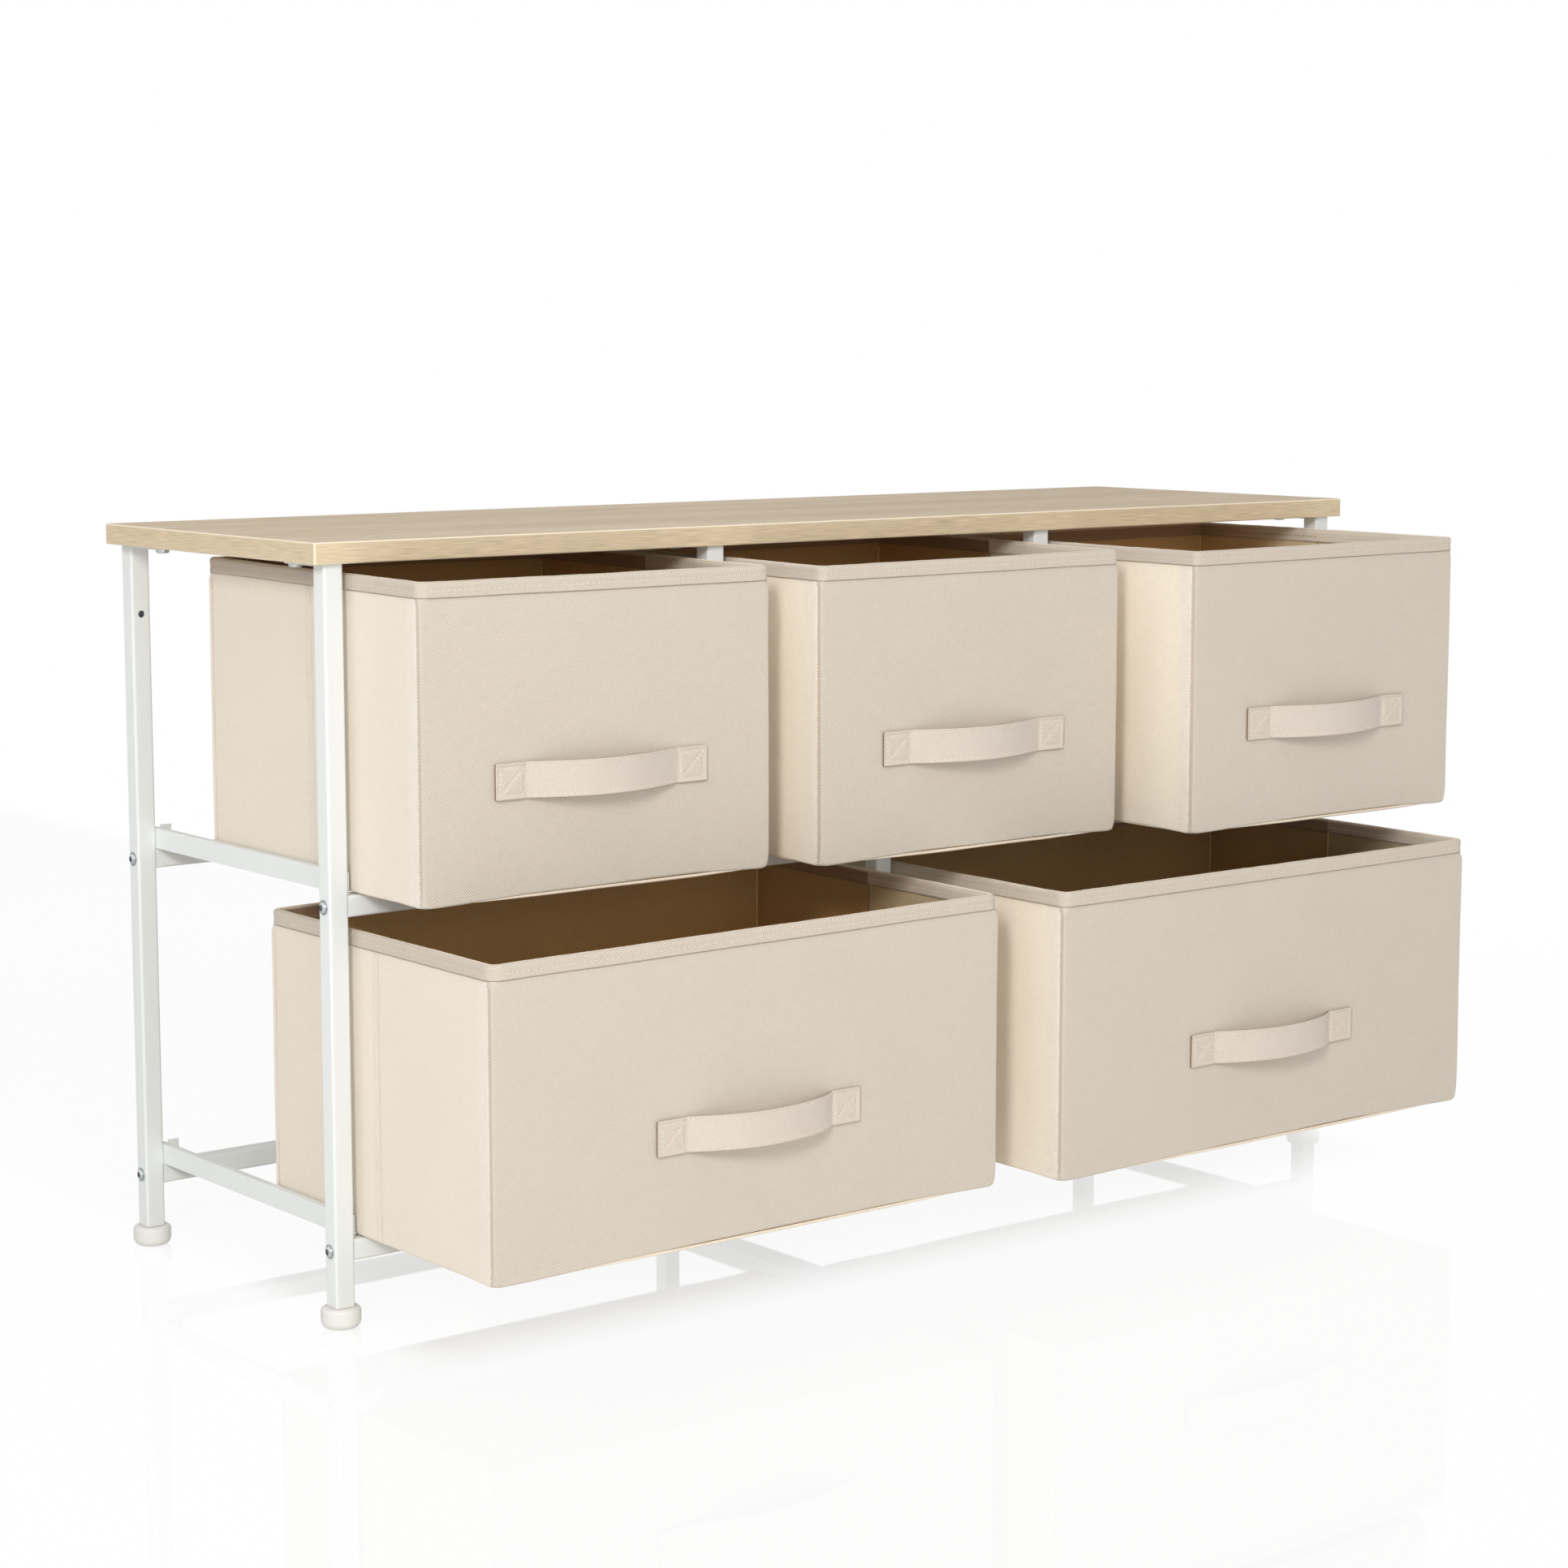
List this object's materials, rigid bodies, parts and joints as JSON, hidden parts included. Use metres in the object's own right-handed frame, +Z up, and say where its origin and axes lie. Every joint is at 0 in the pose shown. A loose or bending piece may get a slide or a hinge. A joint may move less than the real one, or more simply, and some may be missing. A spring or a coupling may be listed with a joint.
{
  "type": "fabric drawer dresser",
  "caption": "Low wide dresser: white metal tube frame, wood-grain top board and linen fabric drawers with strap handles that slide out on the rails.",
  "frame": {"origin": "on the floor, at the middle of the box round the dresser with its drawers at rest", "axes": "+Z up, +X to the right as seen from the front, drawers pull out towards -Y"},
  "size_m": [1, 0.503, 0.543],
  "materials": {
    "oak_board": "satin oak-grain laminate on fibreboard",
    "white_frame": "satin white powder coat",
    "white_plastic": "moulded off-white plastic",
    "zinc_steel": "bright zinc plate",
    "drawer_fabric": "linen-coloured twill",
    "hem_fabric": "folded and stitched binding",
    "strap_webbing": "folded strap with stitched box ends",
    "stiffening_board": "bare fibreboard inside the walls",
    "covered_board": "fabric-covered fibreboard"
  },
  "bodies": {
    "frame": {"top_board": "oak_board", "leg_front_left": "white_frame", "leg_front_right": "white_frame", "leg_back_left": "white_frame", "leg_back_right": "white_frame", "leg_inserts": "white_plastic", "rail_front_lower": "white_frame", "rail_front_middle": "white_frame", "rail_back_lower": "white_frame", "rail_back_middle": "white_frame", "post_lower_front": "white_frame", "post_lower_back": "white_frame", "post_upper_left_front": "white_frame", "post_upper_left_back": "white_frame", "post_upper_right_front": "white_frame", "post_upper_right_back": "white_frame", "post_plugs": "white_plastic", "guide_left_lower": "white_frame", "guide_left_middle": "white_frame", "guide_right_lower": "white_frame", "guide_right_middle": "white_frame", "guides_lower_centre": "white_frame", "guides_upper_left": "white_frame", "guides_upper_right": "white_frame", "rear_stop_tabs": "white_frame", "board_tabs": "white_frame", "frame_bolts": "zinc_steel", "rail_end_nuts": "zinc_steel", "board_screws": "zinc_steel"},
    "foot_front_left_body": {"foot_front_left": "white_plastic"},
    "foot_front_right_body": {"foot_front_right": "white_plastic"},
    "foot_back_left_body": {"foot_back_left": "white_plastic"},
    "foot_back_right_body": {"foot_back_right": "white_plastic"},
    "drawer_upper_left_body": {"drawer_upper_left": "drawer_fabric", "stiffeners_upper_left": "stiffening_board", "base_board_upper_left": "covered_board", "hem_upper_left": "hem_fabric", "handle_upper_left": "strap_webbing"},
    "drawer_upper_middle_body": {"drawer_upper_middle": "drawer_fabric", "stiffeners_upper_middle": "stiffening_board", "base_board_upper_middle": "covered_board", "hem_upper_middle": "hem_fabric", "handle_upper_middle": "strap_webbing"},
    "drawer_upper_right_body": {"drawer_upper_right": "drawer_fabric", "stiffeners_upper_right": "stiffening_board", "base_board_upper_right": "covered_board", "hem_upper_right": "hem_fabric", "handle_upper_right": "strap_webbing"},
    "drawer_lower_left_body": {"drawer_lower_left": "drawer_fabric", "stiffeners_lower_left": "stiffening_board", "base_board_lower_left": "covered_board", "hem_lower_left": "hem_fabric", "handle_lower_left": "strap_webbing"},
    "drawer_lower_right_body": {"drawer_lower_right": "drawer_fabric", "stiffeners_lower_right": "stiffening_board", "base_board_lower_right": "covered_board", "hem_lower_right": "hem_fabric", "handle_lower_right": "strap_webbing"}
  },
  "joints": [
    {"name": "foot_front_left_turn", "type": "hinge", "parent": "frame", "child": "foot_front_left_body", "pos_m": [-0.4825, -0.0375, 0.0075], "axis": [0, 0, 1], "continuous": true},
    {"name": "foot_front_right_turn", "type": "hinge", "parent": "frame", "child": "foot_front_right_body", "pos_m": [0.4825, -0.0375, 0.0075], "axis": [0, 0, 1], "continuous": true},
    {"name": "foot_back_left_turn", "type": "hinge", "parent": "frame", "child": "foot_back_left_body", "pos_m": [-0.4825, 0.2375, 0.0075], "axis": [0, 0, 1], "continuous": true},
    {"name": "foot_back_right_turn", "type": "hinge", "parent": "frame", "child": "foot_back_right_body", "pos_m": [0.4825, 0.2375, 0.0075], "axis": [0, 0, 1], "continuous": true},
    {"name": "drawer_upper_left_slide", "type": "slide", "parent": "frame", "child": "drawer_upper_left_body", "axis": [0, -1, 0], "range_m": [-0.078, 0.142]},
    {"name": "drawer_upper_middle_slide", "type": "slide", "parent": "frame", "child": "drawer_upper_middle_body", "axis": [0, -1, 0], "range_m": [-0.098, 0.122]},
    {"name": "drawer_upper_right_slide", "type": "slide", "parent": "frame", "child": "drawer_upper_right_body", "axis": [0, -1, 0], "range_m": [-0.15, 0.07]},
    {"name": "drawer_lower_left_slide", "type": "slide", "parent": "frame", "child": "drawer_lower_left_body", "axis": [0, -1, 0], "range_m": [-0.158, 0.062]},
    {"name": "drawer_lower_right_slide", "type": "slide", "parent": "frame", "child": "drawer_lower_right_body", "axis": [0, -1, 0], "range_m": [-0.181, 0.039]}
  ]
}
